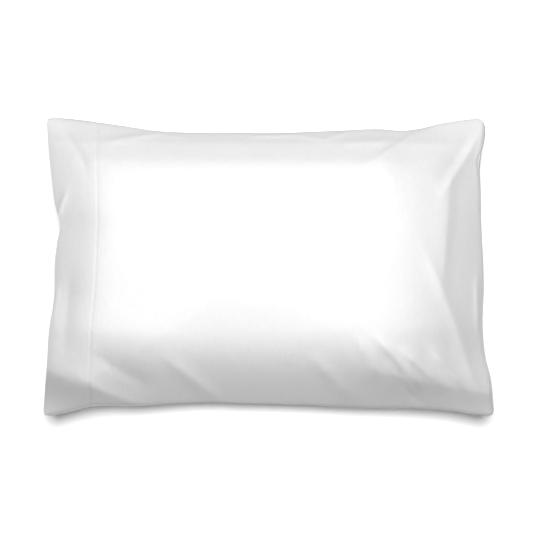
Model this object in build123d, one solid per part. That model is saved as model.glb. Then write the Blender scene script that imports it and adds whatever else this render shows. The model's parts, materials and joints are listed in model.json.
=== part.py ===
from build123d import *
import math
import os

# A bed pillow: a fibre-filled insert inside a percale pillowcase that is open at one end.
# The pillow lies flat. X runs along its length, and the case's open mouth is at the -X end.
# Y runs across its width and +Z is up. The origin is under the pillow's centre, on the surface it
# lies on. All sizes are in millimetres.

# Driving dimensions of the filled case, seen from above. Its sides pull in between its corners.
CASE_LENGTH = 750.0  # corner to corner
CASE_WIDTH = 500.0  # corner to corner
END_PULL_IN = 15.0  # how far each end is drawn in at its middle
SIDE_PULL_IN = 21.0  # how far each long side is drawn in at its middle
CASE_HEIGHT = 145.0
SEAM_HEIGHT = 50.0  # the plane in which the front and back panels meet
UNDERSIDE_DEPTH = 75.0  # depth of the underside's bulge below the rim, before the floor flattens it
EDGE_ANGLE = math.radians(72.0)  # how far round the crown's curve runs before it meets the seam

# Cloth
CASE_CLOTH = 0.8
PLY_GAP = 0.2  # air between two plies that lie on each other
CASE_RIM = 3.0  # height of a panel's edge above the seam's plane
HEM_DEPTH = 85.0  # from the corners of the mouth to the hem's stitching
MOUTH_TRUNCATION = 4.0  # how far the crown would run on past the mouth, which leaves its lips apart
SEAM_PLY = 1.2  # thickness of the case's folded seam allowance
SEAM_WIDTH = 9.0

# Insert: a ticking shell filled with polyester fibre
INSERT_HALF_LENGTH = 338.0  # at its middle
INSERT_HALF_WIDTH = 210.0  # at its middle
INSERT_END_FLARE = 12.0  # how much further its corners reach along X
INSERT_SIDE_FLARE = 17.0  # how much further its corners reach along Y
INSERT_OFFSET_X = 10.0  # it is pushed up against the case's closed end
INSERT_CROWN_CLEARANCE = 2.0  # between its top and the outside of the case
INSERT_FLOOR_CLEARANCE = 1.1  # between its underside and the surface under the case
INSERT_RIM = 2.5
INSERT_UNDERSIDE_DEPTH = 74.0
TICKING_CLOTH = 1.0
TICKING_SEAM_PLY = 1.0
FILL_DROP = 1.3  # how far the fibre lies inside the ticking's outer face
FILL_INSET = 10.0  # how far it stops short of the insert's edge, clear of the seam allowance

# Thread and labels
THREAD_RADIUS = 0.45
STITCH_LENGTH = 4.7
HEM_STITCH_PITCH = 7.5
CLOSING_STITCH_PITCH = 6.5
CLOSING_LINE_AT = -0.975  # share of the insert's half length at which its end is topstitched
CLOSING_LINE_SHARE = 0.5  # the filling gap's share of the insert's width
LABEL_PLY = 0.4
CARE_LABEL = (26.0, 42.0)  # along the seam, and away from it
TICKING_LABEL = (46.0, 58.0)
CARE_LABEL_X = 205.0
TICKING_LABEL_X = -190.0

GRID_U = 27  # points that define a crown along X
GRID_V = 21  # and along Y
COLUMN = 400.0  # taller than anything in the model
WIDE = 2000.0  # wider than anything in the model

TOP = 1
BOTTOM = -1


class Crown:
    """One face of a pillow shape: a crowned surface over an outline whose sides pull in."""

    def __init__(self, side, half_length, half_width, end_flare, side_flare, crown, rim, centre_x=0.0,
                 left_extra=0.0):
        self.side = side
        self.half_length = half_length
        self.half_width = half_width
        self.end_flare = end_flare
        self.side_flare = side_flare
        self.crown = crown
        self.rim = rim
        self.centre_x = centre_x
        self.left_extra = left_extra

    @staticmethod
    def profile(share):
        """Height of the crown, from 0 at the edge to 1 at the middle, at a share of the half width."""
        turned = math.asin(share * math.sin(EDGE_ANGLE))
        lowest = math.cos(EDGE_ANGLE)
        return (math.cos(turned) - lowest) / (1.0 - lowest)

    def point(self, u, v, inset=0.0, drop=0.0):
        """The surface at shares u and v of its half length and width, taken in and down."""
        reach = self.half_length + (self.left_extra if u < 0 else 0.0) - inset
        x = self.centre_x + u * (reach + self.end_flare * v * v)
        y = v * (self.half_width - inset + self.side_flare * u * u)
        rise = self.rim - drop + self.crown * self.profile(u) * self.profile(v)
        return Vector(x, y, SEAM_HEIGHT + self.side * (half_gap(self) + rise))

    def point_at_x(self, x, v):
        """The surface at a place along X, and a share v of the half width."""
        reach = self.half_length + self.left_extra + self.end_flare * v * v
        return self.point((x - self.centre_x) / reach, v)

    def column(self, inset=0.0, drop=0.0):
        """Everything on the inner side of the surface, out past the seam's plane."""
        rows = []
        for i in range(GRID_U):
            u = math.sin(math.pi * (i / (GRID_U - 1) - 0.5))
            shares = [math.sin(math.pi * (j / (GRID_V - 1) - 0.5)) for j in range(GRID_V)]
            rows.append([self.point(u, v, inset, drop) for v in shares])
        skin = Face.make_surface_from_array_of_points(rows, tol=0.01, min_deg=3, max_deg=6)
        return Solid.extrude(skin, Vector(0, 0, -self.side * COLUMN))

    def dome(self, inset=0.0, drop=0.0, floor=0.0, gap=None):
        """The closed solid between the surface and the seam's plane, flattened where it lies."""
        gap = half_gap(self) if gap is None else gap
        if self.side == TOP:
            return self.column(inset, drop) & slab(SEAM_HEIGHT + gap, SEAM_HEIGHT + COLUMN)
        return self.column(inset, drop) & slab(floor, SEAM_HEIGHT - gap)


def half_gap(crown):
    """Half of the seam allowance that lies between the two panels of a case or a ticking."""
    return (SEAM_PLY if crown.rim == CASE_RIM else TICKING_SEAM_PLY) / 2


def slab(low, high, x_range=(-WIDE, WIDE), y_range=(-WIDE, WIDE)):
    """A box between two heights."""
    size = (x_range[1] - x_range[0], y_range[1] - y_range[0], high - low)
    middle = ((x_range[0] + x_range[1]) / 2, (y_range[0] + y_range[1]) / 2, (low + high) / 2)
    return Pos(*middle) * Box(*size)


def case_crown(side):
    height = {TOP: CASE_HEIGHT - SEAM_HEIGHT - SEAM_PLY / 2 - CASE_RIM, BOTTOM: UNDERSIDE_DEPTH}
    return Crown(side, CASE_LENGTH / 2 - END_PULL_IN, CASE_WIDTH / 2 - SIDE_PULL_IN, END_PULL_IN,
                 SIDE_PULL_IN, height[side], CASE_RIM, left_extra=MOUTH_TRUNCATION)


def insert_crown(side):
    top = CASE_HEIGHT - INSERT_CROWN_CLEARANCE - SEAM_HEIGHT - TICKING_SEAM_PLY / 2 - INSERT_RIM
    height = {TOP: top, BOTTOM: INSERT_UNDERSIDE_DEPTH}
    return Crown(side, INSERT_HALF_LENGTH, INSERT_HALF_WIDTH, INSERT_END_FLARE, INSERT_SIDE_FLARE,
                 height[side], INSERT_RIM, centre_x=INSERT_OFFSET_X)


def beyond_mouth():
    """The space past the case's mouth, whose edge is an arc drawn in at its middle."""
    corner_x, corner_y = -CASE_LENGTH / 2, CASE_WIDTH / 2
    lip = ThreePointArc((corner_x, -corner_y), (corner_x + END_PULL_IN, 0), (corner_x, corner_y))
    around = Polyline((corner_x, corner_y), (corner_x, WIDE), (-WIDE, WIDE), (-WIDE, -WIDE),
                      (corner_x, -WIDE), (corner_x, -corner_y))
    outline = make_face([lip, around])
    return extrude(outline, amount=COLUMN, both=True)


def case_panel(crown):
    """One face of the pillowcase, from the closed end to the fold at its mouth."""
    outer = crown.dome()
    inner = crown.dome(CASE_CLOTH, CASE_CLOTH, floor=CASE_CLOTH)
    return outer - inner - beyond_mouth()


def case_hem(crown):
    """The cloth turned in at the mouth, which lies inside the panel as far as the stitching."""
    outside = CASE_CLOTH + PLY_GAP
    inside = outside + CASE_CLOTH
    ply = crown.dome(outside, outside) - crown.dome(inside, inside)
    turned = slab(-COLUMN, COLUMN, x_range=(-WIDE, HEM_DEPTH - CASE_LENGTH / 2))
    return (ply & turned) - beyond_mouth()


def seam_ring(crown, ply):
    """The seam allowance all round, folded inward in the seam's plane."""
    level = slab(SEAM_HEIGHT - ply / 2, SEAM_HEIGHT + ply / 2)
    return (crown.column() & level) - crown.column(inset=SEAM_WIDTH)


def case_seams():
    """The case's three seams. The mouth has none."""
    ring = seam_ring(case_crown(TOP), SEAM_PLY) - beyond_mouth()
    end_from = CASE_LENGTH / 2 - END_PULL_IN - 2 * SEAM_WIDTH
    tall = (-COLUMN, COLUMN)
    return {
        "case_far_seam": ring & slab(*tall, x_range=(-WIDE, end_from), y_range=(0, WIDE)),
        "case_near_seam": ring & slab(*tall, x_range=(-WIDE, end_from), y_range=(-WIDE, 0)),
        "case_end_seam": ring & slab(*tall, x_range=(end_from, WIDE)),
    }


def stitch(start, end):
    """One visible stitch: a short run of thread that is sunk into the cloth by half."""
    along = end - start
    thread = Cylinder(THREAD_RADIUS, STITCH_LENGTH)
    tapered = chamfer(thread.edges().filter_by(GeomType.CIRCLE), THREAD_RADIUS * 0.4)
    return Plane(origin=start + along * 0.5, z_dir=along) * tapered


def stitches_along(place, first, last, pitch):
    """Stitches at an even pitch along a curve, where place(t) gives its points."""
    steps = 600
    points = [place(first + (last - first) * i / steps) for i in range(steps + 1)]
    travelled = [0.0]
    for a, b in zip(points, points[1:]):
        travelled.append(travelled[-1] + (b - a).length)

    def at(distance):
        i = next(k for k, d in enumerate(travelled[1:]) if d >= distance)
        share = (distance - travelled[i]) / (travelled[i + 1] - travelled[i])
        return points[i] + (points[i + 1] - points[i]) * share

    count = int((travelled[-1] - STITCH_LENGTH) / pitch) + 1
    lead = (travelled[-1] - (count - 1) * pitch - STITCH_LENGTH) / 2
    starts = [lead + k * pitch for k in range(count)]
    return Compound([stitch(at(s), at(s + STITCH_LENGTH)) for s in starts])


def hem_stitching(crown):
    """The row of stitches that holds the hem, across the case."""
    line_x = HEM_DEPTH - CASE_LENGTH / 2
    edge = 0.985
    return stitches_along(lambda v: crown.point_at_x(line_x, v), -edge, edge, HEM_STITCH_PITCH)


def closing_stitches():
    """The topstitching that closes the gap through which the ticking was filled."""
    crown = insert_crown(TOP)
    half = CLOSING_LINE_SHARE
    return stitches_along(lambda v: crown.point(CLOSING_LINE_AT, v), -half, half,
                          CLOSING_STITCH_PITCH)


def ticking_panel(crown):
    """One face of the insert's shell."""
    outer = crown.dome(floor=INSERT_FLOOR_CLEARANCE)
    inner = crown.dome(TICKING_CLOTH, TICKING_CLOTH, floor=INSERT_FLOOR_CLEARANCE + TICKING_CLOTH)
    return outer - inner


def fibre_fill():
    """The loose polyester fibre, which fills the ticking."""
    floor = INSERT_FLOOR_CLEARANCE + FILL_DROP
    top = insert_crown(TOP).dome(FILL_INSET, FILL_DROP, gap=0)
    bottom = insert_crown(BOTTOM).dome(FILL_INSET, FILL_DROP, floor=floor, gap=0)
    return top + bottom


def care_label():
    """A blank label sewn into the case's near seam, lying inside against the front panel."""
    crown = case_crown(TOP)
    outside = CASE_CLOTH + PLY_GAP
    ply = crown.dome(outside, outside) - crown.dome(outside + LABEL_PLY, outside + LABEL_PLY)
    along, away = CARE_LABEL
    near_edge = -crown.point_at_x(CARE_LABEL_X, 1).Y
    x_range = (CARE_LABEL_X - along / 2, CARE_LABEL_X + along / 2)
    return ply & slab(0, COLUMN, x_range, (near_edge - SEAM_WIDTH, near_edge + away))


def ticking_label():
    """A blank label sewn into the ticking's far seam, folded back over its top."""
    crown = insert_crown(TOP)
    ply = crown.dome(-LABEL_PLY, -LABEL_PLY) - crown.dome()
    along, away = TICKING_LABEL
    far_edge = crown.point_at_x(TICKING_LABEL_X, 1).Y
    x_range = (TICKING_LABEL_X - along / 2, TICKING_LABEL_X + along / 2)
    return ply & slab(0, COLUMN, x_range, (far_edge - away, far_edge + SEAM_WIDTH))


def build():
    """Every piece, by its name."""
    case_top, case_bottom = case_crown(TOP), case_crown(BOTTOM)
    pieces = {
        "case_front_panel": case_panel(case_top),
        "case_back_panel": case_panel(case_bottom),
        "case_front_hem": case_hem(case_top),
        "case_back_hem": case_hem(case_bottom),
        "case_front_hem_stitching": hem_stitching(case_top),
        "case_back_hem_stitching": hem_stitching(case_bottom),
        "case_care_label": care_label(),
        "ticking_top": ticking_panel(insert_crown(TOP)),
        "ticking_bottom": ticking_panel(insert_crown(BOTTOM)),
        "ticking_seam": seam_ring(insert_crown(TOP), TICKING_SEAM_PLY),
        "ticking_closing_stitches": closing_stitches(),
        "ticking_label": ticking_label(),
        "fibre_fill": fibre_fill(),
    }
    pieces.update(case_seams())
    return pieces


os.makedirs("parts", exist_ok=True)
for name, piece in build().items():
    export_step(piece, f"parts/{name}.step")
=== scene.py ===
import json
import math

import bpy
import numpy as np
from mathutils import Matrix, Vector
from mathutils.bvhtree import BVHTree


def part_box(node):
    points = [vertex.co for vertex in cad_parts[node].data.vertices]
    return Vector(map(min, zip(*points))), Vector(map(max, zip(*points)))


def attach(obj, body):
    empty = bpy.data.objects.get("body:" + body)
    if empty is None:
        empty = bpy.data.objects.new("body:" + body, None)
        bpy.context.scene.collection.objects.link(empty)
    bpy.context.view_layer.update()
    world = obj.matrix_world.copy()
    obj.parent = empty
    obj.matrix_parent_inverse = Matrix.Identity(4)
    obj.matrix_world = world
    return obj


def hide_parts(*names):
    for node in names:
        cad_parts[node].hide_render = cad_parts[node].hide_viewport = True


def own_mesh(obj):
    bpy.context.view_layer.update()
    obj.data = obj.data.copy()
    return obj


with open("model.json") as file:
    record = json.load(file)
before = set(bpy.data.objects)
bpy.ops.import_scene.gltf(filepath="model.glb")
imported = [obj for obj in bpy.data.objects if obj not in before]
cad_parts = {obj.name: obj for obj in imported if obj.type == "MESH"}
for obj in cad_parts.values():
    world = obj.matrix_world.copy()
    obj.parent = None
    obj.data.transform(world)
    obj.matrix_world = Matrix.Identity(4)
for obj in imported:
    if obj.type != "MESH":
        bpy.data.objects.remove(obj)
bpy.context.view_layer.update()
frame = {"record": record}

# A bed pillow that lies flat: a percale pillowcase with a hemmed mouth at its -X end, and in it a
# ticking insert filled with fibre. X runs along the pillow, Y across it, and Z is up. Metres.


def box_around(*nodes):
    """The lowest and highest corners of several CAD nodes together."""
    boxes = [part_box(node) for node in nodes]
    return np.min([low for low, _ in boxes], axis=0), np.max([high for _, high in boxes], axis=0)


CASE_LOW, CASE_HIGH = box_around("case_front_panel", "case_back_panel")
INSERT_LOW, INSERT_HIGH = box_around("ticking_top", "ticking_bottom")
SEAM_Z = float(np.mean([box_around("case_end_seam")[k][2] for k in (0, 1)]))
HEM_REACH = box_around("case_front_hem")[1][0] - CASE_LOW[0]
TICKING_LABEL_BOX = box_around("ticking_label")
CARE_LABEL_BOX = box_around("case_care_label")
CLOSING_BOX = box_around("ticking_closing_stitches")

# The sizes that the cloth was cut to, between its seams
CASE_CUT = (0.762, 0.508)
INSERT_CUT = (0.740, 0.484)
PERCALE = 0.0005
TICKING = 0.0008
MOUTH_ROLL = 0.0012  # radius of the fold where the hem turns in
SEAM_SPLIT = 0.0003  # each panel's share of the seam line's thickness
SEAM_ALLOWANCE = 0.009
CORNER_RADIUS = 0.013

# The grid that the cloth is relaxed on
COLUMNS, ROWS = 128, 84
RELAX_STEPS = 200

# How far each side of the filled case is drawn in from the line through its corners, at the few
# places where its curve turns
CASE_SIDES = dict(
    far=[(-0.371, -0.003), (-0.340, -0.0005), (-0.225, 0.0145), (-0.195, 0.019), (-0.150, 0.022),
         (-0.070, 0.022), (0.000, 0.023), (0.110, 0.0195), (0.190, 0.017), (0.225, 0.0195),
         (0.250, 0.017), (0.290, 0.008), (0.340, 0.001), (0.3605, -0.0005)],
    near=[(-0.376, 0.0), (-0.355, 0.004), (-0.290, 0.0185), (-0.225, 0.0185), (-0.105, 0.024),
          (-0.040, 0.022), (0.040, 0.020), (0.160, 0.0155), (0.240, 0.0145), (0.310, 0.010), (0.345, 0.004),
          (0.3775, 0.001)],
    left=[(-0.250, -0.001), (-0.210, 0.002), (-0.160, 0.008), (-0.110, 0.0105), (-0.045, 0.018),
          (0.010, 0.0185), (0.040, 0.022), (0.070, 0.027), (0.105, 0.0195), (0.160, 0.0125),
          (0.253, 0.004)],
    right=[(-0.249, -0.0025), (-0.215, -0.001), (-0.180, 0.003), (-0.160, 0.0085), (-0.100, 0.015),
           (-0.030, 0.013), (0.090, 0.018), (0.150, 0.0195), (0.180, 0.0225), (0.205, 0.015),
           (0.225, 0.012), (0.2505, 0.0145)],
)
INSERT_SIDES = dict(
    far=[(-0.340, 0.0), (-0.310, 0.0030), (-0.240, 0.0110), (-0.120, 0.0160), (0.030, 0.0165),
         (0.180, 0.0140), (0.280, 0.0065), (0.330, 0.0015), (0.360, 0.0)],
    near=[(-0.340, 0.0), (-0.305, 0.0040), (-0.220, 0.0120), (-0.080, 0.0170), (0.070, 0.0155),
          (0.200, 0.0120), (0.290, 0.0060), (0.335, 0.0010), (0.360, 0.0)],
    left=[(-0.227, 0.0), (-0.190, 0.0035), (-0.110, 0.0100), (0.010, 0.0120), (0.120, 0.0090),
          (0.195, 0.0030), (0.227, 0.0)],
    right=[(-0.227, 0.0), (-0.185, 0.0040), (-0.090, 0.0110), (0.030, 0.0115), (0.130, 0.0080),
           (0.190, 0.0035), (0.227, 0.0)],
)

# The folds that lie in the case's front: each runs from start to end, stands up by height, and
# falls away over one width on the right of its way and another on the left
CASE_FOLDS = [
    # the far side's puckers, and the shoulder they lie below
    dict(start=(-0.480, 0.178), end=(0.440, 0.170), height=0.0160, right=0.070, left=0.036),
    dict(start=(-0.480, 0.2105), end=(0.440, 0.2070), height=0.0036, right=0.012, left=0.010),
    dict(start=(-0.278, 0.2100), end=(-0.165, 0.2285), height=0.0040, right=0.006, left=0.005),
    dict(start=(-0.178, 0.2225), end=(-0.138, 0.2180), height=0.0024, right=0.004, left=0.004),
    dict(start=(-0.040, 0.2210), end=(0.050, 0.2230), height=0.0030, right=0.004, left=0.004),
    dict(start=(0.036, 0.2250), end=(0.104, 0.2130), height=0.0038, right=0.005, left=0.005),
    dict(start=(0.086, 0.2130), end=(0.138, 0.2310), height=0.0038, right=0.005, left=0.004),
    dict(start=(0.115, 0.2090), end=(0.225, 0.2140), height=0.0026, right=0.006, left=0.006),
    # the ear of cloth at the far closed corner, which laps over the side
    dict(start=(0.276, 0.248), end=(0.156, 0.168), height=0.0085, right=0.0045, left=0.030),
    dict(start=(0.374, 0.258), end=(0.280, 0.106), height=0.0060, right=0.008, left=0.010),
    dict(start=(0.352, 0.222), end=(0.280, 0.142), height=-0.0036, right=0.014, left=0.010),
    dict(start=(0.360, 0.240), end=(0.3500, 0.158), height=0.0026, right=0.004, left=0.004),
    # the closed end's edge of the crown
    dict(start=(0.248, 0.052), end=(0.350, -0.216), height=0.0066, right=0.012, left=0.012, bow=0.006),
    dict(start=(0.304, 0.190), end=(0.286, -0.070), height=0.0060, right=0.022, left=0.011),
    dict(start=(0.3495, 0.000), end=(0.3505, -0.118), height=0.0040, right=0.006, left=0.004),
    # the fan of folds towards the near closed corner, and the plump corner below it
    dict(start=(0.000, -0.106), end=(0.420, -0.100), height=0.0150, right=0.085, left=0.060),
    dict(start=(0.070, -0.142), end=(0.146, -0.230), height=0.0066, right=0.010, left=0.013),
    dict(start=(0.144, -0.106), end=(0.182, -0.190), height=0.0054, right=0.008, left=0.009),
    dict(start=(0.168, -0.102), end=(0.258, -0.206), height=0.0090, right=0.010, left=0.010),
    dict(start=(0.186, -0.128), end=(0.232, -0.196), height=-0.0034, right=0.008, left=0.008),
    dict(start=(0.212, -0.126), end=(0.294, -0.206), height=0.0078, right=0.008, left=0.009),
    dict(start=(0.262, -0.126), end=(0.332, -0.210), height=0.0076, right=0.008, left=0.009),
    dict(start=(0.203, -0.176), end=(0.262, -0.234), height=-0.0040, right=0.007, left=0.006),
    dict(start=(0.222, -0.172), end=(0.274, -0.240), height=0.0036, right=0.005, left=0.006),
    dict(start=(0.120, -0.154), end=(0.460, -0.220), height=0.0180, right=0.027, left=0.055,
         bow=-0.007),
    # the near side towards the mouth
    dict(start=(-0.460, -0.096), end=(-0.100, -0.114), height=0.0160, right=0.080, left=0.060),
    dict(start=(-0.478, -0.128), end=(-0.234, -0.224), height=0.0250, right=0.035, left=0.062,
         bow=0.003),
    dict(start=(-0.335, -0.164), end=(-0.180, -0.240), height=0.0050, right=0.012, left=0.016,
         bow=-0.010),
    dict(start=(-0.300, -0.134), end=(-0.186, -0.206), height=-0.0046, right=0.014, left=0.016),
    dict(start=(-0.180, -0.140), end=(-0.072, -0.232), height=0.0056, right=0.013, left=0.013),
    # the mouth, whose upper edge stands open
    dict(start=(-0.366, -0.262), end=(-0.366, 0.262), height=0.0280, right=0.080, left=0.080),
    dict(start=(-0.333, 0.136), end=(-0.3570, 0.074), height=0.0036, right=0.005, left=0.005),
    dict(start=(-0.350, -0.022), end=(-0.358, -0.100), height=0.0018, right=0.003, left=0.004),
    dict(start=(-0.330, 0.010), end=(-0.340, -0.170), height=-0.0050, right=0.016, left=0.016),
    dict(start=(-0.366, 0.250), end=(-0.296, 0.146), height=-0.0034, right=0.007, left=0.008,
         bow=0.010),
]


# ---- The filled shape ----

def through(points, at):
    """A smooth curve through a few points, read at many places."""
    place, value = np.array(points).T
    slope = np.gradient(value, place)
    at = np.clip(at, place[0], place[-1])
    i = np.clip(np.searchsorted(place, at) - 1, 0, len(place) - 2)
    gap = place[i + 1] - place[i]
    t = (at - place[i]) / gap
    ends = (1 + 2 * t) * (1 - t) ** 2 * value[i] + t * t * (3 - 2 * t) * value[i + 1]
    slopes = t * (1 - t) ** 2 * slope[i] + t * t * (t - 1) * slope[i + 1]
    return ends + slopes * gap


def smoothstep(t):
    t = np.clip(t, 0, 1)
    return t * t * (3 - 2 * t)


class Outline:
    """The seam of a filled cover, seen from above, as its four sides."""

    def __init__(self, low, high, far, near, left, right):
        self.far = [(x, high[1] - inset) for x, inset in far]
        self.near = [(x, low[1] + inset) for x, inset in near]
        self.left = [(y, low[0] + inset) for y, inset in left]
        self.right = [(y, high[0] - inset) for y, inset in right]

    def edge_distances(self, x, y):
        """How far points lie inside the nearer end, and inside the nearer long side."""
        from_end = np.where(x > 0, through(self.right, y) - x, x - through(self.left, y))
        from_side = np.where(y > 0, through(self.far, x) - y, y - through(self.near, x))
        return np.maximum(from_end, 0), np.maximum(from_side, 0)

    def shares(self, x, y):
        """How far out points lie, from 0 in the middle to 1 at the seam, along X and along Y."""
        reach_x = np.where(x > 0, through(self.right, y), -through(self.left, y))
        reach_y = np.where(y > 0, through(self.far, x), -through(self.near, x))
        return np.clip(x / reach_x, -1, 1), np.clip(y / reach_y, -1, 1)

    def confine(self, x, y, margin):
        """Brings points that have strayed past the seam back inside it."""
        x = np.clip(x, through(self.left, y) + margin, through(self.right, y) - margin)
        return x, np.clip(y, through(self.near, x) + margin, through(self.far, x) - margin)

    def patch(self, s, t):
        """Points at shares s and t of the way along X and Y, spread evenly between the sides."""
        far_x = self.far[0][0] + (self.far[-1][0] - self.far[0][0]) * s
        near_x = self.near[0][0] + (self.near[-1][0] - self.near[0][0]) * s
        left_y = self.left[0][0] + (self.left[-1][0] - self.left[0][0]) * t
        right_y = self.right[0][0] + (self.right[-1][0] - self.right[0][0]) * t
        far = np.stack([far_x, through(self.far, far_x)], -1)
        near = np.stack([near_x, through(self.near, near_x)], -1)
        left = np.stack([through(self.left, left_y), left_y], -1)
        right = np.stack([through(self.right, right_y), right_y], -1)
        s, t = s[..., None], t[..., None]
        ends = (1 - s) * ((1 - t) * self.near[0] + t * self.far[0])
        ends = ends + s * ((1 - t) * self.near[-1] + t * self.far[-1])
        return (1 - t) * near + t * far + (1 - s) * left + s * right - ends


class Filling:
    """The stuffed shape that holds a cover up, as the heights of its top and its underside."""

    FLANK = 0.036  # width of the straight slope next to the seam
    SHOULDERS = dict(mouth=0.075, closed=0.140, side=0.100)  # how far that slope takes to round off
    DOME = 0.036  # how much higher the middle is than the tops of those slopes
    CORNER_LIFT = 0.009  # how much higher the seam lies at the corners than the CAD's
    SEAM_SAG = 0.020  # how much lower the seam lies at the middle of each side than at the corners
    CORNER_REACH = 0.19  # how far from a corner its shoulders start to lengthen
    CORNER_SOFTNESS = 0.9
    HIP = 1.8  # how sharply the slopes of two neighbouring sides meet
    EDGE_ANGLE = math.radians(72)
    SEAM_LIFT = 0.0006
    WRAP = (0.35, 0.90)  # how much cloth the bulge takes from its middle, along X and along Y

    def __init__(self, outline, floor, top, belly):
        self.outline = outline
        self.floor = floor
        self.crown = top - SEAM_Z - self.SEAM_LIFT
        self.belly = belly

    def rise(self, distance, shoulder):
        """Height of a stuffed edge at a distance from its seam, from 0 to 1 on the flat top."""
        ramp = np.clip((distance - self.FLANK) / shoulder, 0, 1)
        rounded = shoulder * (ramp - ramp ** 3 + ramp ** 4 / 2)
        return (np.clip(distance, 0, self.FLANK) + rounded) / (self.FLANK + shoulder / 2)

    def softened(self, from_other_side):
        """How much longer a shoulder gets towards the corner at its other side."""
        return 1 + self.CORNER_SOFTNESS * smoothstep(1 - from_other_side / self.CORNER_REACH)

    def bulge(self, share):
        """A round bulge, from 1 in the middle to 0 at the seam."""
        lowest = math.cos(self.EDGE_ANGLE)
        turned = np.sqrt(np.maximum(1 - (share * math.sin(self.EDGE_ANGLE)) ** 2, 0))
        return (turned - lowest) / (1 - lowest)

    def seam(self, u, v):
        at_corners = np.minimum(np.abs(u), np.abs(v)) ** 2
        return SEAM_Z + self.CORNER_LIFT - self.SEAM_SAG * (1 - at_corners)

    def top(self, x, y):
        u, v = self.outline.shares(x, y)
        from_end, from_side = self.outline.edge_distances(x, y)
        end_shoulder = np.where(x > 0, self.SHOULDERS["closed"], self.SHOULDERS["mouth"])
        a = 1 - self.rise(from_end, end_shoulder * self.softened(from_side))
        b = 1 - self.rise(from_side, self.SHOULDERS["side"] * self.softened(from_end))
        sides = 1 - (a ** self.HIP + b ** self.HIP - (a * b) ** self.HIP) ** (1 / self.HIP)
        dome = self.DOME * (1 - u * u) * (1 - v * v)
        return self.seam(u, v) + self.SEAM_LIFT + (self.crown - self.DOME) * sides + dome

    def underside(self, x, y):
        u, v = self.outline.shares(x, y)
        drop = self.belly * self.bulge(u) * self.bulge(v)
        return np.maximum(self.seam(u, v) - self.SEAM_LIFT - drop, self.floor)

    def covered(self):
        """Two grids of points, laid over the top and the underside."""
        u, v = np.meshgrid(np.linspace(-1, 1, COLUMNS + 1), np.linspace(-1, 1, ROWS + 1),
                           indexing="ij")
        wrapped_u = np.sin(u * self.EDGE_ANGLE) / math.sin(self.EDGE_ANGLE)
        wrapped_v = np.sin(v * self.EDGE_ANGLE) / math.sin(self.EDGE_ANGLE)
        s = (1 + u + (wrapped_u - u) * self.bulge(v) * self.WRAP[0]) / 2
        t = (1 + v + (wrapped_v - v) * self.bulge(u) * self.WRAP[1]) / 2
        x, y = np.moveaxis(self.outline.patch(s, t), -1, 0)
        return np.stack([np.stack([x, y, self.top(x, y)], -1),
                         np.stack([x, y, self.underside(x, y)], -1)])


# ---- The cloth simulation ----

FIRM = 1.0  # how much of a thread's error each pass takes out
BIAS_GIVE = 0.35  # cloth gives more along its bias
BENDING = 0.06
SWEEPS = 3
DAMPING = 0.92
GRAVITY_STEP = 0.00004
PUSH, CLING = 0.7, 0.03  # how hard the filling pushes cloth out, and how hard cloth lies on it
SEAM_HOLD = 0.25
TUCK = 0.0026  # how far inside the seam each further ring of the cloth stays at least
TUCKED_RINGS = 3
EASE = 1.008  # how much longer the cloth is than the filling needs, which puckers it


def spans(cells, reach):
    """Both ends of all threads that reach over a number of cells, in groups that share no point."""
    period = 2 * reach
    return [(slice(k, cells + 1 - reach, period), slice(k + reach, cells + 1, period))
            for k in range(period)]


def threads(p):
    """The cloth's threads: their two ends, their length, their firmness, and if they only push."""
    every = slice(None)
    low, high = slice(0, ROWS), slice(1, ROWS + 1)
    lines = [((every, a), (every, b), FIRM, False) for a, b in spans(COLUMNS, 1)]
    lines += [((every, every, a), (every, every, b), FIRM, False) for a, b in spans(ROWS, 1)]
    for a, b in spans(COLUMNS, 1):
        for c, d in ((low, high), (high, low)):
            lines.append(((every, a, c), (every, b, d), BIAS_GIVE, False))
    lines += [((every, a), (every, b), BENDING, True) for a, b in spans(COLUMNS, 2)]
    lines += [((every, every, a), (every, every, b), BENDING, True) for a, b in spans(ROWS, 2)]
    return [(a, b, EASE * np.linalg.norm(p[b] - p[a], axis=-1, keepdims=True), firmness, only_push)
            for a, b, firmness, only_push in lines]


def pull(p, a, b, length, firmness, only_push):
    """Moves the ends of many threads towards their cut length."""
    across = p[b] - p[a]
    now = np.sqrt((across * across).sum(-1, keepdims=True))
    off = (now - length) / now
    if only_push:
        off = np.minimum(off, 0)
    move = across * (off * firmness / 2)
    p[a] += move
    p[b] -= move


def rest_on(z, target, outward):
    """Pushes cloth out to the filling's surface, and lets it lie down on it."""
    inside = (target - z) * outward > 0
    z += (target - z) * np.where(inside, PUSH, CLING)


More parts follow.
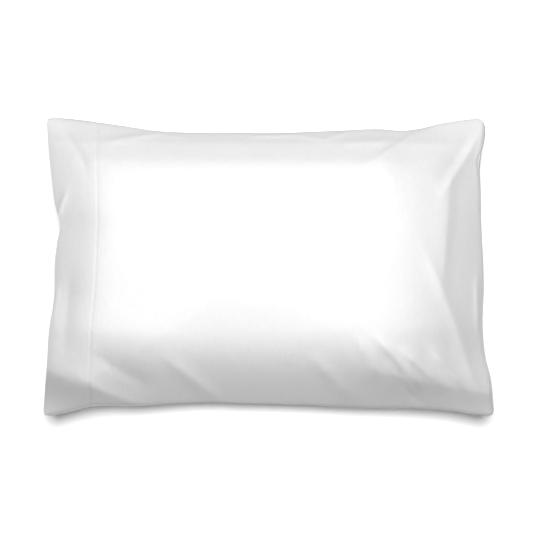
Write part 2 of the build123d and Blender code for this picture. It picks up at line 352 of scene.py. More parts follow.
def relax(filling, open_mouth):
    """Two panels of cloth, sewn together round their sides, settled over a filling and a floor."""
    p = filling.covered()
    seam_at = p.mean(axis=0)
    mouth_at = p[:, 0, :, :2].copy()
    before = p.copy()
    family = threads(p)
    sewn = [(slice(None), 0), (slice(None), -1), (-1, slice(None))]
    if not open_mouth:
        sewn.append((0, slice(None)))
    hold = SEAM_HOLD * np.array([1, 1, 2])
    rings_in = np.minimum(np.minimum(*np.ogrid[:COLUMNS + 1, :ROWS + 1]),
                          np.minimum(*np.ogrid[COLUMNS:-1:-1, ROWS:-1:-1]))
    tuck = TUCK * np.minimum(rings_in, TUCKED_RINGS)
    for _ in range(RELAX_STEPS):
        moved = (p - before) * DAMPING
        before = p.copy()
        p += moved
        p[0, ..., 2] -= GRAVITY_STEP
        for _ in range(SWEEPS):
            for thread in family:
                pull(p, *thread)
        rest_on(p[0, ..., 2], filling.top(p[0, ..., 0], p[0, ..., 1]), 1)
        rest_on(p[1, ..., 2], filling.underside(p[1, ..., 0], p[1, ..., 1]), -1)
        np.maximum(p[1, ..., 2], filling.floor, out=p[1, ..., 2])
        p[..., 0], p[..., 1] = filling.outline.confine(p[..., 0], p[..., 1], tuck)
        for i, j in sewn:
            middle = (p[0, i, j] + p[1, i, j]) / 2
            p[:, i, j] = middle + (seam_at[i, j] - middle) * hold
        if open_mouth:
            p[:, 0, :, :2] += (mouth_at - p[:, 0, :, :2]) * SEAM_HOLD
    return p


# ---- Finer grids of points ----

def resample(grid, at, axis):
    """A grid read between its points along one axis, on a smooth curve through them."""
    grid = np.moveaxis(grid, axis, 0)
    last = len(grid) - 1
    i = np.clip(at.astype(int), 0, last - 1)
    t = (at - i).reshape((-1,) + (1,) * (grid.ndim - 1))
    a, b, c, d = (grid[np.clip(i + k, 0, last)] for k in (-1, 0, 1, 2))
    cubic = 1.5 * (b - c) + (d - a) / 2
    curve = b + t * ((c - a) / 2 + t * (a - 2.5 * b + 2 * c - d / 2 + t * cubic))
    return np.moveaxis(curve, 0, axis)


def stops(cut, cells, zones):
    """Places along a grid, in cells, from zones of cloth: each ends at a distance, and has a pitch."""
    places = [0.0]
    for end, pitch in zones:
        count = max(1, round((end - places[-1]) / pitch))
        places += list(np.linspace(places[-1], end, count + 1)[1:])
    return np.array(places) * cells / cut


def evenly(grid, at, axis):
    """A grid read along one axis at places on its cloth, in cells of even length along each line."""
    lines = np.moveaxis(grid, axis, 0)
    cells = np.arange(len(lines))
    out = []
    for k in range(lines.shape[1]):
        steps = np.linalg.norm(np.diff(lines[:, k], axis=0), axis=-1)
        travelled = np.concatenate([[0], steps.cumsum()]) * cells[-1] / steps.sum()
        out.append(resample(lines[:, k], np.interp(at, travelled, cells), 0))
    return np.moveaxis(np.stack(out, 1), 0, axis)


def normals(grid):
    """The upward normals of a grid of points."""
    across = np.cross(np.gradient(grid, axis=0), np.gradient(grid, axis=1))
    return across / np.maximum(np.linalg.norm(across, axis=-1, keepdims=True), 1e-12)


FOLD_FADE = 0.4  # the share of a fold's length over which each end dies out
FOLD_END = 0.1  # how far a fold has already risen at its very ends
FOLD_FALL = 1.6  # how quickly a fold falls away to its sides


def fold_height(x, y, start, end, height, right, left, bow=0.0):
    """One raised fold: how high it stands at points of the plan. Its middle bows to the left."""
    start, end = np.array(start), np.array(end)
    length = np.hypot(*(end - start))
    along = (end - start) / length
    dx, dy = x - start[0], y - start[1]
    t = (dx * along[0] + dy * along[1]) / length
    side = dy * along[0] - dx * along[1] - bow * 4 * t * (1 - t)
    taper = smoothstep(t / FOLD_FADE + FOLD_END) * smoothstep((1 - t) / FOLD_FADE + FOLD_END)
    return height * taper * np.exp(-np.abs(side / np.where(side > 0, left, right)) ** FOLD_FALL)


CORNER_POINTS = 10  # how many points from a corner its two sides' directions are read


def round_corners(grid, radius):
    """Takes the sharp corners off a grid's outline, in plan."""
    last_column, last_row = grid.shape[0] - 1, grid.shape[1] - 1
    for i in (0, last_column):
        for j in (0, last_row):
            corner = grid[i, j, :2].copy()
            far_i = abs(i - CORNER_POINTS)
            far_j = abs(j - CORNER_POINTS)
            along = grid[far_i, j, :2] - corner
            across = grid[i, far_j, :2] - corner
            axes = np.stack([along / np.hypot(*along), across / np.hypot(*across)], -1)
            local = (grid[..., :2] - corner) @ np.linalg.inv(axes).T
            out = np.clip(1 - local / radius, 0, 1)
            inside = (local < radius).all(-1)
            round_out = out * np.sqrt(1 - out[..., ::-1] ** 2 / 2)
            moved = corner + (radius * (1 - round_out)) @ axes.T
            grid[inside, :2] = moved[inside]
    return grid


# ---- Meshes ----

def mesh_piece(name, points, faces, material, cut=None, smooth=True):
    """A mesh object. cut gives each point's place on the flat cloth or thread, for its weave."""
    mesh = bpy.data.meshes.new(name)
    mesh.from_pydata(np.asarray(points, float).tolist(), [], [list(map(int, f)) for f in faces])
    if cut is not None:
        attribute = mesh.attributes.new("cut", "FLOAT_VECTOR", "POINT")
        attribute.data.foreach_set("vector", np.asarray(cut, float).ravel())
    mesh.polygons.foreach_set("use_smooth", [smooth] * len(mesh.polygons))
    mesh.materials.append(material)
    mesh.update()
    piece = bpy.data.objects.new(name, mesh)
    bpy.context.scene.collection.objects.link(piece)
    return piece


def closed_between(upper, lower):
    """Points and faces of the closed skin of two grids that lie one over the other."""
    index = np.arange(upper.shape[0] * upper.shape[1]).reshape(upper.shape[:2])
    top = np.stack([index[:-1, :-1], index[1:, :-1], index[1:, 1:], index[:-1, 1:]], -1)
    top = top.reshape(-1, 4)
    rim = np.concatenate([index[:, 0], index[-1, 1:], index[-2::-1, -1], index[0, -2:0:-1]])
    after = np.roll(rim, -1)
    sides = np.stack([rim, rim + index.size, after + index.size, after], -1)
    faces = np.concatenate([top, top[:, ::-1] + index.size, sides])
    return np.concatenate([upper.reshape(-1, 3), lower.reshape(-1, 3)]), faces


def cloth_piece(name, grid, thickness, material, cut, faces_up=True):
    """A closed sheet whose outer face is a grid of points, with its flat places for the weave."""
    inner = grid - normals(grid) * (thickness if faces_up else -thickness)
    upper, lower = (grid, inner) if faces_up else (inner, grid)
    points, faces = closed_between(upper, lower)
    flat = cut.reshape(-1, 3)
    return mesh_piece(name, points, faces, material, np.concatenate([flat, flat]))


def tube(path, up, radii, sides=8):
    """Points, faces and flat places of a thread along a path, closed at both ends."""
    tangent = np.gradient(path, axis=0)
    tangent /= np.linalg.norm(tangent, axis=-1, keepdims=True)
    across = np.cross(tangent, up)
    across /= np.linalg.norm(across, axis=-1, keepdims=True)
    lift = np.cross(across, tangent)
    angle = np.arange(sides) * 2 * math.pi / sides
    ring = np.cos(angle)[None, :, None] * across[:, None] + np.sin(angle)[None, :, None] * lift[:, None]
    points = (path[:, None] + ring * np.asarray(radii)[:, None, None]).reshape(-1, 3)
    index = np.arange(len(path) * sides).reshape(len(path), sides)
    turned = np.roll(index, -1, axis=1)
    wall = np.stack([index[:-1], index[1:], turned[1:], turned[:-1]], -1).reshape(-1, 4)
    faces = [list(f) for f in wall] + [list(index[0]), list(index[-1][::-1])]
    travelled = np.concatenate([[0], np.linalg.norm(np.diff(path, axis=0), axis=-1).cumsum()])
    round_it = angle * radii[len(radii) // 2]
    flat = np.stack(np.broadcast_arrays(travelled[:, None], round_it[None], 0.0), -1)
    return points, faces, flat.reshape(-1, 3)


def joined(parts):
    """Several tubes as one set of points, faces and flat places."""
    points, faces, flats = [], [], []
    start = 0
    for part_points, part_faces, part_flat in parts:
        points.append(part_points)
        faces += [[k + start for k in face] for face in part_faces]
        flats.append(part_flat)
        start += len(part_points)
    return np.concatenate(points), faces, np.concatenate(flats)


def stitches(name, line, up, pitch, length, radius, material):
    """A row of separate stitches along a line on cloth, whose ends dip into it."""
    travelled = np.concatenate([[0], np.linalg.norm(np.diff(line, axis=0), axis=-1).cumsum()])
    count = int((travelled[-1] - length) / pitch) + 1
    lead = (travelled[-1] - (count - 1) * pitch - length) / 2
    share = np.linspace(0, 1, 9)
    arch = np.sin(share * math.pi) ** 0.5
    parts = []
    for k in range(count):
        at = lead + k * pitch + share * length
        path = np.stack([np.interp(at, travelled, line[:, n]) for n in range(3)], -1)
        side = np.stack([np.interp(at, travelled, up[:, n]) for n in range(3)], -1)
        path = path + side * ((1.5 * arch - 1) * radius)[:, None]
        parts.append(tube(path, side, radius * (0.55 + 0.45 * arch)))
    points, faces, flat = joined(parts)
    return mesh_piece(name, points, faces, material, flat)


def flat_places(columns_at, rows_at, cut):
    """Where the points of a fine grid lie on the flat cloth."""
    x = columns_at * cut[0] / COLUMNS
    y = rows_at * cut[1] / ROWS
    return np.stack(np.broadcast_arrays(x[:, None], y[None], 0.0), -1)


# ---- Materials ----

COLOURS = {m["slot"]: m["base_color"] for m in frame["record"]["materials"]}


class Finish:
    """A node material that is built up from bumps and a slightly varied colour."""

    def __init__(self, name, roughness, sheen, sheen_roughness=0.5, specular=0.5):
        self.material = bpy.data.materials.new(name)
        self.material.use_nodes = True
        self.nodes = self.material.node_tree.nodes
        self.links = self.material.node_tree.links
        self.shader = self.nodes["Principled BSDF"]
        self.shader.inputs["Roughness"].default_value = roughness
        self.shader.inputs["Sheen Weight"].default_value = sheen
        self.shader.inputs["Sheen Roughness"].default_value = sheen_roughness
        self.shader.inputs["Specular IOR Level"].default_value = specular
        place = self.nodes.new("ShaderNodeAttribute")
        place.attribute_name = "cut"
        self.place = place.outputs["Vector"]
        self.normal = None

    def mapped(self, scale, turn=0.0):
        node = self.nodes.new("ShaderNodeMapping")
        node.inputs["Scale"].default_value = scale
        node.inputs["Rotation"].default_value = (0, 0, turn)
        self.links.new(self.place, node.inputs["Vector"])
        return node.outputs["Vector"]

    def noise(self, scale, detail=2.0, turn=0.0):
        """Noise whose features are about 1 / scale metres long and wide."""
        node = self.nodes.new("ShaderNodeTexNoise")
        node.inputs["Scale"].default_value = 1.0
        node.inputs["Detail"].default_value = detail
        self.links.new(self.mapped(scale, turn), node.inputs["Vector"])
        return node.outputs["Fac"]

    def bands(self, pitch, turn=0.0, distortion=0.0):
        """Rounded ridges with a pitch in metres. A wave texture of scale 1 repeats every pi / 10."""
        scale = math.pi / (10 * pitch)
        node = self.nodes.new("ShaderNodeTexWave")
        node.inputs["Scale"].default_value = 1.0
        node.inputs["Distortion"].default_value = distortion
        self.links.new(self.mapped((scale, scale, scale), turn), node.inputs["Vector"])
        return node.outputs["Fac"]

    def combined(self, operation, a, b):
        node = self.nodes.new("ShaderNodeMath")
        node.operation = operation
        self.links.new(a, node.inputs[0])
        self.links.new(b, node.inputs[1])
        return node.outputs[0]

    def bump(self, height, depth):
        node = self.nodes.new("ShaderNodeBump")
        node.inputs["Distance"].default_value = depth
        node.inputs["Strength"].default_value = 1.0
        self.links.new(height, node.inputs["Height"])
        if self.normal is not None:
            self.links.new(self.normal, node.inputs["Normal"])
        self.normal = node.outputs["Normal"]
        self.links.new(self.normal, self.shader.inputs["Normal"])

    def colour(self, colour, shade, variation):
        """The base colour, which a variation takes down to its darker shade."""
        ramp = self.nodes.new("ShaderNodeValToRGB")
        ramp.color_ramp.elements[0].position = 0.3
        ramp.color_ramp.elements[1].position = 0.7
        ramp.color_ramp.elements[0].color = (*[c * shade for c in colour], 1)
        ramp.color_ramp.elements[1].color = (*colour, 1)
        self.links.new(variation, ramp.inputs["Fac"])
        self.links.new(ramp.outputs["Color"], self.shader.inputs["Base Color"])


def percale():
    """Crisp plain-weave cotton: one thread over, one under, with slubs and faint crinkles."""
    finish = Finish("percale", roughness=0.85, sheen=0.15, sheen_roughness=0.6, specular=0.25)
    pitch = 0.00032
    weave = finish.combined("MULTIPLY", finish.bands(pitch), finish.bands(pitch, math.pi / 2))
    finish.bump(finish.noise((38, 30, 1), detail=3.0), 0.0011)
    finish.bump(finish.noise((160, 900, 1)), 0.00006)
    finish.bump(finish.noise((900, 160, 1)), 0.00006)
    finish.bump(weave, 0.00004)
    finish.colour(COLOURS["case_percale"], 0.975, finish.noise((220, 60, 1), detail=4.0))
    return finish.material


def ticking():
    """Dense cotton twill: fine diagonal ribs."""
    finish = Finish("ticking", roughness=0.8, sheen=0.1, sheen_roughness=0.5, specular=0.3)
    ribs = finish.bands(0.0009, math.radians(63), distortion=0.4)
    finish.bump(finish.noise((30, 26, 1), detail=3.0), 0.0012)
    finish.bump(finish.noise((120, 700, 1)), 0.00008)
    finish.bump(ribs, 0.00012)
    finish.colour(COLOURS["ticking_cotton"], 0.955, finish.noise((300, 90, 1), detail=4.0))
    return finish.material


def thread(name, slot):
    """Two-ply sewing thread: plies that run round it at a slant, with painted shade in the grooves between
    them.
    """
    finish = Finish(name, roughness=0.55, sheen=0.2, specular=0.4)
    plies = finish.bands(0.0007, math.radians(35))
    finish.bump(plies, 0.00012)
    # painted shade: the colour darkens in the grooves between the plies, where the ply bump is low
    finish.colour(COLOURS[slot], 0.9, plies)
    return finish.material


def ribbon():
    """Woven satin ribbon: long fine floats."""
    finish = Finish("label ribbon", roughness=0.35, sheen=0.1, specular=0.5)
    finish.bump(finish.bands(0.00025), 0.00004)
    finish.bump(finish.noise((60, 900, 1)), 0.00005)
    finish.colour(COLOURS["label_ribbon"], 0.95, finish.noise((80, 500, 1)))
    return finish.material


def fibre():
    """Loose crimped polyester: tangled fine strands, with painted shade in the hollows between them."""
    finish = Finish("polyester fibre", roughness=0.5, sheen=0.5, sheen_roughness=0.3, specular=0.4)
    strands = finish.noise((900, 120, 1), detail=6.0, turn=0.6)
    finish.bump(finish.noise((70, 70, 1), detail=5.0), 0.004)
    finish.bump(strands, 0.0008)
    # painted shade: the colour darkens between the strands, where the strand bump is low
    finish.colour(COLOURS["polyester_fibre"], 0.85, strands)
    return finish.material


# ---- The pillowcase ----

# The hem's stitching, at places across the case: how far it wanders from the hem's reach
HEM_WANDER = [(-0.250, -0.0100), (-0.188, -0.0063), (-0.087, -0.0007), (-0.020, 0.0040), (0.050, 0.0068),
              (0.114, 0.0078), (0.205, 0.0048), (0.250, 0.0035)]
HEM_EDGE = 0.0025  # how far the turned-in cloth runs on past its stitching
HEM_COLUMNS = 36
HEM_STITCH_PITCH = 0.0075
HEM_STITCH_LENGTH = 0.0047
THREAD_RADIUS = 0.00055
GROOVE_DEPTH = 0.0011
GROOVE_WIDTH = 0.0022
HEM_ZONE_PITCH = 0.0015
CASE_COLUMN_ZONES = [(0.074, 0.0032), (0.104, HEM_ZONE_PITCH), (0.128, 0.0034), (0.548, 0.0054),
                     (CASE_CUT[0], 0.0031)]
CASE_ROW_ZONES = [(CASE_CUT[1], 0.0025)]


def finer(panel, cut, column_zones, row_zones):
    """A panel's grid at a finer pitch, and its places on the flat cloth."""
    columns_at = stops(cut[0], COLUMNS, column_zones)
    rows_at = stops(cut[1], ROWS, row_zones)
    grid = evenly(evenly(panel, columns_at, 0), rows_at, 1)
    return round_corners(grid, CORNER_RADIUS), flat_places(columns_at, rows_at, cut)


SEAM_FADE = 0.006  # how far from a seam a fold has its full height
SEAM_SHARE = 0.15


def lay_folds(grid, outline):
    """Raises the folds in the front, which die out at the seams, but run on to the open mouth."""
    x, y = grid[..., 0], grid[..., 1]
    total = sum(fold_height(x, y, **fold) for fold in CASE_FOLDS)
    from_end, from_side = outline.edge_distances(x, y)
    from_seam = np.where(x > 0, np.minimum(from_end, from_side), from_side)
    grid[..., 2] += total * smoothstep(from_seam / SEAM_FADE + SEAM_SHARE)
    return grid


def hem_line_x(y):
    return CASE_LOW[0] + HEM_REACH + through(HEM_WANDER, y)


def hem_columns(grid):
    """Where the hem's stitching crosses each row of a panel's grid, in columns."""
    past = grid[..., 0] - hem_line_x(grid[..., 1])
    after = np.argmax(past > 0, axis=0)
    rows = np.arange(grid.shape[1])
    before = past[after - 1, rows]
    return after - 1 + before / (before - past[after, rows])


def read_rows(grid, at):
    """A grid read at its own places in each row, given in columns."""
    columns = np.arange(len(grid))
    read = [[np.interp(at[:, j], columns, grid[:, j, k]) for k in range(grid.shape[2])]
            for j in range(grid.shape[1])]
    return np.array(read).transpose(2, 0, 1)


STITCH_DRAW = 0.3  # how much of the groove's depth comes and goes with each stitch


def press_groove(grid, flat, side):
    """The hem's stitching draws the cloth in, a little more at each stitch."""
    across = (grid[..., 0] - hem_line_x(grid[..., 1])) / GROOVE_WIDTH
    drawn = 1 - STITCH_DRAW + STITCH_DRAW * np.cos(flat[..., 1] * 2 * math.pi / HEM_STITCH_PITCH)
    depth = GROOVE_DEPTH * np.exp(-across ** 2) * drawn
    return grid - normals(grid) * side * depth[..., None]


MOUTH_TURNS = 9


def roll_mouth(grid, flat, side):
    """Adds the fold at the mouth, where the cloth turns inward round a small radius."""
    up = normals(grid)[0] * side
    out = grid[0] - grid[1]
    out /= np.linalg.norm(out, axis=-1, keepdims=True)
    turns = np.linspace(math.pi, 0, MOUTH_TURNS)[:-1]
    centre = grid[0] - up * MOUTH_ROLL
    rolled = [centre + MOUTH_ROLL * (math.cos(a) * up + math.sin(a) * out) for a in turns]
    extra = [flat[0] - np.array([a * MOUTH_ROLL, 0, 0]) for a in turns]
    return np.concatenate([rolled, grid]), np.concatenate([extra, flat])


HEM_LOOSENESS = 0.0004  # the gap between the hem's two plies at its stitching


def hem_ply(name, grid, flat, side, material):
    """The cloth turned in at the mouth, as far as just past its stitching."""
    share = np.linspace(0, 1, HEM_COLUMNS)[:, None]
    at = share * (hem_columns(grid) + HEM_EDGE / HEM_ZONE_PITCH)
    gap = 2 * MOUTH_ROLL + (PERCALE + HEM_LOOSENESS - 2 * MOUTH_ROLL) * smoothstep(share)
    ply = read_rows(grid, at) - read_rows(normals(grid) * side, at) * gap[..., None]
    return cloth_piece(name, ply, PERCALE, material, read_rows(flat, at), faces_up=side > 0)


def hem_stitches(name, grid, side, material):
    """The row of stitches that holds a hem, on the outside of the case."""
    at = hem_columns(grid)[None]
    keep = slice(3, -3)
    up = read_rows(normals(grid) * side, at)[0]
    line = read_rows(grid, at)[0]
    return stitches(name, line[keep], up[keep], HEM_STITCH_PITCH, HEM_STITCH_LENGTH, THREAD_RADIUS,
                    material)


ALLOWANCE_START = 0.0012  # how far inside the rim the allowance begins
ALLOWANCE_ROWS = 6
RIPPLE, RIPPLE_PITCH = 0.0006, 0.037


def allowance(name, rim, inward, thickness, material):
    """Two plies of seam allowance, folded flat inside a seam along a stretch of its rim."""
    width = np.linspace(ALLOWANCE_START, SEAM_ALLOWANCE, ALLOWANCE_ROWS)
    travelled = np.concatenate([[0], np.linalg.norm(np.diff(rim, axis=0), axis=-1).cumsum()])
    grid = rim[:, None] + inward[:, None] * width[None, :, None]
    ripple = RIPPLE * np.sin(travelled * 2 * math.pi / RIPPLE_PITCH)
    grid[..., 2] += ripple[:, None] * (width / SEAM_ALLOWANCE)
    spread = np.linspace(0.3, 1.0, ALLOWANCE_ROWS)[None, :, None] * thickness / 2
    lift = np.array([0, 0, 1.0])
    if np.cross(np.gradient(grid, axis=0), np.gradient(grid, axis=1))[..., 2].mean() < 0:
        grid = grid[::-1]
    points, faces = closed_between(grid + lift * spread, grid - lift * spread)
    flat = np.stack(np.broadcast_arrays(travelled[:, None], width[None], 0.0), -1).reshape(-1, 3)
    return mesh_piece(name, points, faces, material, np.concatenate([flat, flat]))


def inward_of(rim, towards):
    """Level directions square to a rim, pointing to the inside."""
    along = np.gradient(rim, axis=0)
    side = np.stack([-along[:, 1], along[:, 0], np.zeros(len(rim))], -1)
    side /= np.linalg.norm(side, axis=-1, keepdims=True)
    facing = np.sign((side * (np.array(towards) - rim)).sum(-1, keepdims=True))
    return side * facing


CASE_FLOOR = 0.0008  # the height of the lower panel's cloth where it lies on the floor
CASE_BELLY = 0.075
LOWEST = 0.0003  # how near the floor the back may come


def make_case(cloth, thread_material, label_material):
    outline = Outline(CASE_LOW, CASE_HIGH, **CASE_SIDES)
    filling = Filling(outline, floor=CASE_FLOOR, top=CASE_HIGH[2], belly=CASE_BELLY)
    settled = relax(filling, open_mouth=True)
    front, flat = finer(settled[0], CASE_CUT, CASE_COLUMN_ZONES, CASE_ROW_ZONES)
    back, _ = finer(settled[1], CASE_CUT, CASE_COLUMN_ZONES, CASE_ROW_ZONES)
    far_rim = front[6:-4, -1].copy()
    near_rim = front[6:-4, 0].copy()
    end_rim = front[-1, 4:-4].copy()
    front = press_groove(lay_folds(front, outline), flat, 1)
    back = press_groove(back, flat, -1)
    front[..., 2] += SEAM_SPLIT
    back[..., 2] -= SEAM_SPLIT
    np.maximum(back[..., 2], LOWEST, out=back[..., 2])

    pieces = {}
    for face, grid, side in (("front", front, 1), ("back", back, -1)):
        panel, panel_flat = roll_mouth(grid, flat, side)
        pieces[f"case_{face}_panel"] = cloth_piece(f"pillowcase_{face}", panel, PERCALE, cloth,
                                                   panel_flat, faces_up=side > 0)
        pieces[f"case_{face}_hem"] = hem_ply(f"pillowcase_{face}_hem", grid, flat, side, cloth)
        pieces[f"case_{face}_hem_stitching"] = hem_stitches(f"pillowcase_{face}_hem_stitches", grid,
                                                            side, thread_material)
    middle = (0, 0, SEAM_Z)
    for side, line in (("far", far_rim), ("near", near_rim), ("end", end_rim)):
        pieces[f"case_{side}_seam"] = allowance(f"pillowcase_{side}_seam", line,
                                                inward_of(line, middle), 2 * PERCALE, cloth)
    pieces["case_care_label"] = care_label(front, label_material)
    return pieces, front, back


LABEL_PLY = 0.0003


def label_piece(name, grid, material):
    """A blank ribbon label, a grid of points thick."""
    columns, rows = grid.shape[:2]
    x = np.linspace(0, np.ptp(grid[..., 0]), columns)
    y = np.linspace(0, np.ptp(grid[..., 1]), rows)
    flat = np.stack(np.broadcast_arrays(x[:, None], y[None], 0.0), -1)
    return cloth_piece(name, grid, LABEL_PLY, material, flat)


def surface_under(grid):
    """A ray target made of a grid of points."""
    index = np.arange(grid.shape[0] * grid.shape[1]).reshape(grid.shape[:2])
    quads = np.stack([index[:-1, :-1], index[1:, :-1], index[1:, 1:], index[:-1, 1:]], -1)
    return BVHTree.FromPolygons(grid.reshape(-1, 3).tolist(), quads.reshape(-1, 4).tolist())


def height_on(tree, x, y, otherwise):
    """The height of a surface at a place in plan."""
    hit = tree.ray_cast(Vector((x, y, 1.0)), Vector((0, 0, -1.0)))[0]
    return otherwise if hit is None else hit.z


CARE_LABEL_GAP, CARE_LABEL_CURL = 0.0018, 0.0006


def care_label(front, material):
    """A blank label in the near seam, which lies inside against the front."""
    tree = surface_under(front)
    low, high = CARE_LABEL_BOX
    xs = np.linspace(low[0], high[0], 14)
    ys = np.linspace(low[1] + 0.002, high[1], 22)
    grid = np.array([[(x, y, height_on(tree, x, y, SEAM_Z) - CARE_LABEL_GAP) for y in ys] for x in xs])
    grid[..., 2] -= CARE_LABEL_CURL * np.sin((grid[..., 0] - low[0]) / (high[0] - low[0]) * math.pi)
    return label_piece("pillowcase_care_label", grid, material)


# ---- The insert ----

INSERT_COLUMN_ZONES = [(INSERT_CUT[0], 0.0033)]
INSERT_ROW_ZONES = [(INSERT_CUT[1], 0.0033)]
INSERT_ABOVE_CAD = 0.001  # how far its underside stays above the CAD's, and its top below
INSERT_BELOW_CAD = 0.003
INSERT_BELLY = 0.072
CLEAR_OF_CASE = 0.0045
CLEAR_OF_BACK = 0.0016
CLOSING_PITCH = 0.0065
CLOSING_STITCH = 0.0042


def keep_inside(grid, tree, clearance, side):
    """Keeps a face of the insert inside a face of the case."""
    for place in grid.reshape(-1, 3):
        limit = height_on(tree, place[0], place[1], place[2] + clearance * side) - clearance * side
        place[2] = min(place[2], limit) if side > 0 else max(place[2], limit)
    return grid


def make_insert(case_front, case_back, cloth, thread_material, label_material, fill_material):
    outline = Outline(INSERT_LOW, INSERT_HIGH, **INSERT_SIDES)
    filling = Filling(outline, floor=INSERT_LOW[2] + INSERT_ABOVE_CAD,
                      top=INSERT_HIGH[2] - INSERT_BELOW_CAD, belly=INSERT_BELLY)
    settled = relax(filling, open_mouth=False)
    top, flat = finer(settled[0], INSERT_CUT, INSERT_COLUMN_ZONES, INSERT_ROW_ZONES)
    bottom, _ = finer(settled[1], INSERT_CUT, INSERT_COLUMN_ZONES, INSERT_ROW_ZONES)
    rim = np.concatenate([top[4:-4, 0], top[-1, 4:-4], top[-5:3:-1, -1], top[0, -5:3:-1]])
    top[..., 2] += SEAM_SPLIT
    bottom[..., 2] -= SEAM_SPLIT
    top = keep_inside(top, surface_under(case_front), CLEAR_OF_CASE, 1)
    bottom = keep_inside(bottom, surface_under(case_back), CLEAR_OF_BACK, -1)

    pieces = {
        "ticking_top": cloth_piece("insert_ticking_top", top, TICKING, cloth, flat),
        "ticking_bottom": cloth_piece("insert_ticking_bottom", bottom, TICKING, cloth, flat,
                                      faces_up=False),
    }
    ring = np.concatenate([rim, rim[:1]])
    pieces["ticking_seam"] = allowance("insert_seam", ring, inward_of(ring, (0.01, 0, SEAM_Z)),
                                       2 * TICKING, cloth)
    pieces["ticking_closing_stitches"] = closing_stitches(top, thread_material)
    pieces["ticking_label"] = ticking_label(top, label_material)
    pieces["fibre_fill"] = fibre_fill(top, bottom, flat, fill_material)
    return pieces


def closing_stitches(top, material):
    """The topstitching at the insert's end, over the gap that it was filled through."""
    low, high = CLOSING_BOX
    near_end = 4
    line, up = top[near_end], normals(top)[near_end]
    gap = (line[:, 1] >= low[1]) & (line[:, 1] <= high[1])
    return stitches("insert_closing_stitches", line[gap], up[gap], CLOSING_PITCH, CLOSING_STITCH,
                    THREAD_RADIUS, material)


TICKING_LABEL_GAP = 0.0007
LABEL_FREE, LABEL_LIFT = 0.02, 0.0012  # how much of the label is free of its seam, and its rise


def ticking_label(top, material):
    """A blank label in the insert's far seam, folded back over its top."""
    tree = surface_under(top)
    low, high = TICKING_LABEL_BOX
    xs = np.linspace(low[0], high[0], 20)
    ys = np.linspace(low[1], high[1] - 0.004, 26)
    grid = np.array([[(x, y, height_on(tree, x, y, SEAM_Z) + TICKING_LABEL_GAP) for y in ys]
                     for x in xs])
    lift = smoothstep((low[1] + LABEL_FREE - grid[..., 1]) / LABEL_FREE) * LABEL_LIFT
    grid[..., 2] += lift * np.cos(np.linspace(-1, 1, len(xs)) * math.pi / 2)[:, None] ** 2
    return label_piece("insert_label", grid, material)


FIBRE_INSET = 3  # in points of the ticking's grid
LUMPS, LUMP_WAVES = 40, 70  # how many waves make the lumps, and how close they are
FIBRE_GAP, LUMP_DEPTH, FIBRE_EDGE = 0.0018, 0.004, 0.0006


def fibre_fill(top, bottom, flat, material):
    """The loose fibre, a lumpy body that fills the ticking and stops short of its seam."""
    random = np.random.default_rng(7)
    inner = slice(FIBRE_INSET, -FIBRE_INSET, 2)
    upper, lower = top[inner, inner], bottom[inner, inner]
    x, y = upper[..., 0], upper[..., 1]
    lumps = np.zeros_like(x)
    for _ in range(LUMPS):
        wave = random.normal(size=2) * LUMP_WAVES
        lumps += np.sin(x * wave[0] + y * wave[1] + random.uniform(0, 2 * math.pi)) / LUMPS
    depth = TICKING + FIBRE_GAP + LUMP_DEPTH * np.abs(lumps)
    middle = (upper + lower) / 2
    thick = np.maximum((upper - lower)[..., 2] / 2 - depth, FIBRE_EDGE)[..., None]
    lift = np.array([0, 0, 1.0])
    points, faces = closed_between(middle + lift * thick, middle - lift * thick)
    places = flat[inner, inner].reshape(-1, 3)
    return mesh_piece("insert_fibre", points, faces, material, np.concatenate([places, places]))


# ---- The stage, the lights and the camera ----

CAMERA_HEIGHT = 4.0
CAMERA_AT = (-0.0034, 0.0025)
VIEW_WIDTH = 0.894  # of the plane that the seam lies in
SENSOR = 36.0


def make_floor():
    material = bpy.data.materials.new("floor")
    material.use_nodes = True
    nodes, links = material.node_tree.nodes, material.node_tree.links
    shader = nodes["Principled BSDF"]
    shader.inputs["Roughness"].default_value = 0.9
    shader.inputs["Specular IOR Level"].default_value = 0.1
    noise = nodes.new("ShaderNodeTexNoise")
    noise.inputs["Scale"].default_value = 300.0
    ramp = nodes.new("ShaderNodeValToRGB")
    ramp.color_ramp.elements[0].color = (0.93, 0.93, 0.93, 1)
    ramp.color_ramp.elements[1].color = (0.95, 0.95, 0.95, 1)
    links.new(noise.outputs["Fac"], ramp.inputs["Fac"])
    links.new(ramp.outputs["Color"], shader.inputs["Base Color"])
    half = 9.0
    points = [(-half, -half, 0), (half, -half, 0), (half, half, 0), (-half, half, 0)]
    floor = mesh_piece("floor", points, [(0, 1, 2, 3)], material, smooth=False)
    return floor


def collection_of(name, objects):
    group = bpy.data.collections.new(name)
    for item in objects:
        group.objects.link(item)
    return group


def add_light(name, kind, energy, place, turn, receivers, **settings):
    data = bpy.data.lights.new(name, kind)
    data.energy = energy
    for key, value in settings.items():
        setattr(data, key, value)
    light = bpy.data.objects.new(name, data)
    light.location = place
    light.rotation_euler = turn
    bpy.context.scene.collection.objects.link(light)
    light.light_linking.receiver_collection = receivers


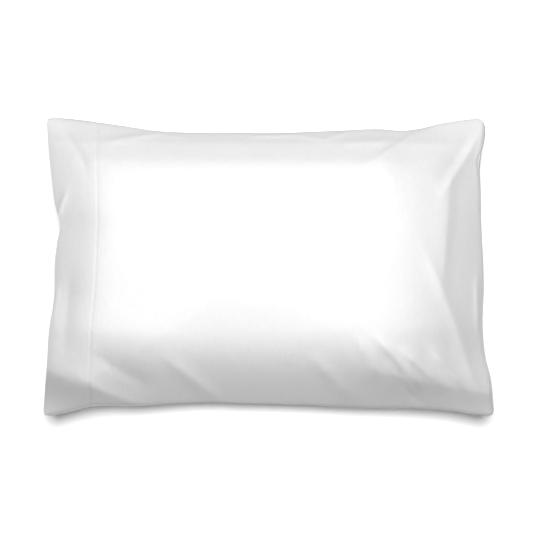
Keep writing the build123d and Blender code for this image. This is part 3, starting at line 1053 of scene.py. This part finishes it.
def make_lights(case, insert, floor):
    """A long soft box close over the pillow, another for the insert when it is out, and a broad
    soft light for the floor alone."""
    add_light("soft_box", "AREA", 10.0, (-0.005, 0.154, 0.90), (0, 0, 0),
              collection_of("lit_pillow", case + insert), shape="RECTANGLE", size=1.16, size_y=0.30)
    add_light("soft_box_for_insert", "AREA", 4.5, (-0.90, 0.154, 0.90), (0, 0, 0),
              collection_of("lit_insert", insert), shape="RECTANGLE", size=0.9, size_y=0.30)
    add_light("floor_light", "SUN", 4.0, (0, 0, 2), (math.radians(-17), 0, 0),
              collection_of("lit_floor", [floor]), angle=math.radians(34))
    world = bpy.data.worlds.new("studio")
    bpy.context.scene.world = world
    world.use_nodes = True
    nodes, links = world.node_tree.nodes, world.node_tree.links
    background = nodes["Background"]
    background.inputs["Color"].default_value = (1, 1, 1, 1)
    path = nodes.new("ShaderNodeLightPath")
    ramp = nodes.new("ShaderNodeMapRange")
    ramp.inputs["To Min"].default_value = 0.05
    ramp.inputs["To Max"].default_value = 1.1
    links.new(path.outputs["Is Camera Ray"], ramp.inputs["Value"])
    links.new(ramp.outputs["Result"], background.inputs["Strength"])


def make_camera():
    data = bpy.data.cameras.new("camera")
    data.sensor_width = SENSOR
    data.lens = SENSOR * (CAMERA_HEIGHT - SEAM_Z) / VIEW_WIDTH
    camera = bpy.data.objects.new("camera", data)
    camera.location = (*CAMERA_AT, CAMERA_HEIGHT)
    bpy.context.scene.collection.objects.link(camera)
    bpy.context.scene.camera = camera


# ---- Putting it together ----

bpy.context.scene.view_settings.view_transform = "Standard"

thread_finish = thread("case thread", "case_thread")
label_finish = ribbon()
case_pieces, case_front, case_back = make_case(percale(), thread_finish, label_finish)
insert_thread_finish = thread("ticking thread", "ticking_thread")
insert_pieces = make_insert(case_front, case_back, ticking(), insert_thread_finish, label_finish,
                            fibre())

for node, piece in case_pieces.items():
    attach(piece, "case")
    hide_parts(node)
    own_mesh(piece)
for node, piece in insert_pieces.items():
    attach(piece, "insert")
    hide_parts(node)

stage_floor = make_floor()
make_lights(list(case_pieces.values()), list(insert_pieces.values()), stage_floor)
make_camera()
